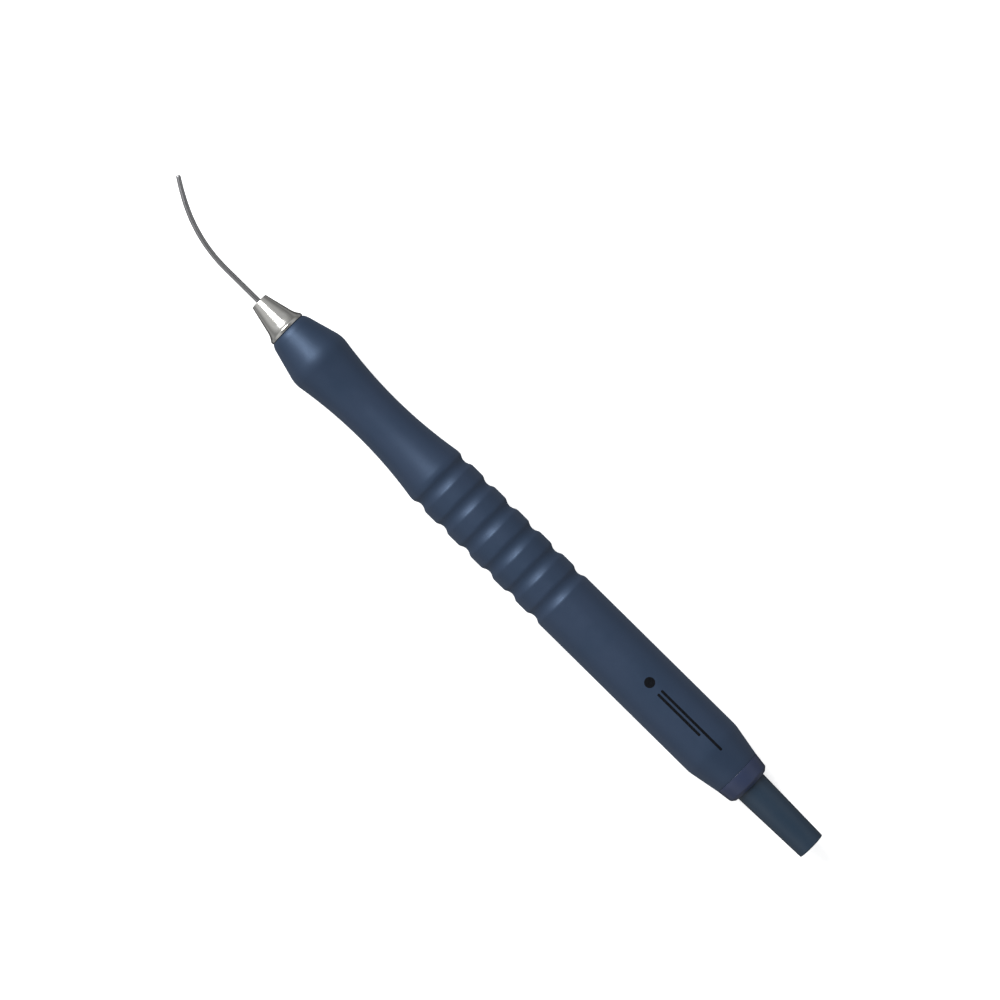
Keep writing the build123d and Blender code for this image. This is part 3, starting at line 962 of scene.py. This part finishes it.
def add_mark(bm, start, end, middle, half, rounding):
    """A bar of ink on the barrel, from one station to another, middle millimetres to the side."""
    rows = []
    for i in range(MARK_STEPS + 1):
        s = start + (end - start) * (1 - cos(pi * i / MARK_STEPS)) / 2
        near = min(s - start, end - s)
        width = half
        if near < rounding:
            width = half - rounding + sqrt(rounding**2 - (rounding - near) ** 2)
        surface = grip_r(s)
        columns = range(2 * MARK_HALF_COLUMNS + 1)
        angles = [pi / 2 - (middle + width * (j / MARK_HALF_COLUMNS - 1)) / surface for j in columns]
        top = [place(s, surface + INK_TOP, a) for a in angles]
        under = [place(s, surface - INK_ROOT, a) for a in reversed(angles)]
        rows.append(top + under)
    made = add_grid(bm, rows)
    # a dot's ends come to a point and need no face
    if half > rounding:
        bm.faces.new(made[0])
        bm.faces.new(made[-1])


# (start, end, middle, half width, rounding of the corners)
MARKS = (
    (89.7, 91.7, -0.55, 1.0, 1.0),
    (93.2, 108.4, -1.0, 0.25, 0.2),
    (93.2, 103.8, -0.1, 0.25, 0.2),
)
bm = bmesh.new()
for mark in MARKS:
    add_mark(bm, *mark)
piece("printed_mark", bm, INK, "navy_silicone", "handle")

# --- Stage: floor, one light and the room, metres ---

FLOOR_HALF = 2.5
FLOOR_GLOW = 0.6             # keeps the floor as white as a lit studio table
PALE = (0.86, 0.86, 0.86, 1)
PALER = (0.88, 0.88, 0.88, 1)
QUARTERS = ((-1, -1), (1, -1), (1, 1), (-1, 1))
floor_mesh = bpy.data.meshes.new("floor")
corners = [(x * FLOOR_HALF, y * FLOOR_HALF, cad_low.z) for x, y in QUARTERS]
floor_mesh.from_pydata(corners, [], [(0, 1, 2, 3)])
floor = bpy.data.objects.new("floor", floor_mesh)
bpy.context.scene.collection.objects.link(floor)
paint = Finish(
    "floor_paint", Specular_IOR_Level=0.0, Emission_Strength=FLOOR_GLOW, Emission_Color=(1, 1, 1, 1)
)
paint.colour(paint.mix(paint.noise(paint.at, scale=0.02, detail=2), PALE, PALER))
paint.roughness(0.9)
floor_mesh.materials.append(paint.done())
floor.visible_glossy = False
floor.visible_diffuse = False

# a tall softbox on the tip's side, from 27 to 63 degrees off straight up
KEY_TILT = radians(45)
KEY_DISTANCE = 2.0
KEY_WIDTH = 1.15
KEY_HEIGHT = 1.3
KEY_ASIDE = 0.035            # of its direction, along Y
KEY_RADIANCE = 9.5
key_light = bpy.data.lights.new("key", "AREA")
key_light.shape = "RECTANGLE"
key_light.size = KEY_WIDTH
key_light.size_y = KEY_HEIGHT
key_light.energy = KEY_RADIANCE * pi * key_light.size * key_light.size_y
key = bpy.data.objects.new("key", key_light)
bpy.context.scene.collection.objects.link(key)
away = Vector((sin(KEY_TILT), KEY_ASIDE, cos(KEY_TILT))).normalized()
side = away.cross(Vector((0, 1, 0))).normalized()
key.matrix_world = (
    Matrix.Translation(Vector((0, 0, AXIS_Z)) + away * KEY_DISTANCE)
    @ Matrix((away.cross(side), -side, away)).transposed().to_4x4()
)
key.visible_camera = False

# The room, as (height of the direction, brightness): dim straight up, brighter at the sides,
# dim again round and under the floor's edge. It is a little brighter towards +Y.
ROOM = (
    (-1.0, 0.05),
    (-0.8, 0.08),
    (-0.55, 0.40),
    (-0.2, 0.27),
    (0.1, 0.45),
    (0.35, 0.66),
    (0.65, 0.66),
    (0.88, 0.3),
    (1.0, 0.2),
)
ROOM_TINT = (0.98, 0.99, 1.0)
ROOM_LEAN = 0.18
world = bpy.data.worlds.new("studio")
world.use_nodes = True
bpy.context.scene.world = world
sky = world.node_tree
towards = sky.nodes.new("ShaderNodeTexCoord")
parts = sky.nodes.new("ShaderNodeSeparateXYZ")
sky.links.new(towards.outputs["Generated"], parts.inputs[0])
rise = sky.nodes.new("ShaderNodeMapRange")
rise.inputs["From Min"].default_value = -1.0
sky.links.new(parts.outputs["Z"], rise.inputs["Value"])
ramp = sky.nodes.new("ShaderNodeValToRGB")
ramp.color_ramp.interpolation = "EASE"
sky.links.new(rise.outputs[0], ramp.inputs[0])
stops = ramp.color_ramp.elements
while len(stops) < len(ROOM):
    stops.new(1.0)
for stop, (height, brightness) in zip(stops, ROOM):
    stop.position = (height + 1) / 2
    stop.color = (*(brightness * share for share in ROOM_TINT), 1)
lean = sky.nodes.new("ShaderNodeMapRange")
lean.inputs["From Min"].default_value = -1.0
lean.inputs["To Min"].default_value = 1 - ROOM_LEAN
lean.inputs["To Max"].default_value = 1 + ROOM_LEAN
sky.links.new(parts.outputs["Y"], lean.inputs["Value"])
sky.links.new(ramp.outputs[0], sky.nodes["Background"].inputs["Color"])
sky.links.new(lean.outputs[0], sky.nodes["Background"].inputs["Strength"])

# --- Camera: straight down, rolled so that the tip points up and to the left ---

CAMERA_ROLL = radians(44.6)
CAMERA_X = 0.0007
CAMERA_Y = -0.005
CAMERA_RISE = 1.0            # metres above the handle's axis
camera_data = bpy.data.cameras.new("camera")
camera = bpy.data.objects.new("camera", camera_data)
bpy.context.scene.collection.objects.link(camera)
camera_data.sensor_width = 36
camera_data.lens = 200
camera_data.clip_start = 0.01
camera_data.clip_end = 10
right = Vector((-cos(CAMERA_ROLL), -sin(CAMERA_ROLL), 0))
up = Vector((sin(CAMERA_ROLL), -cos(CAMERA_ROLL), 0))
turn = Matrix((right, up, right.cross(up))).transposed()
camera.matrix_world = Matrix.Translation((CAMERA_X, CAMERA_Y, AXIS_Z + CAMERA_RISE)) @ turn.to_4x4()
bpy.context.scene.camera = camera
bpy.context.scene.view_settings.view_transform = "Standard"
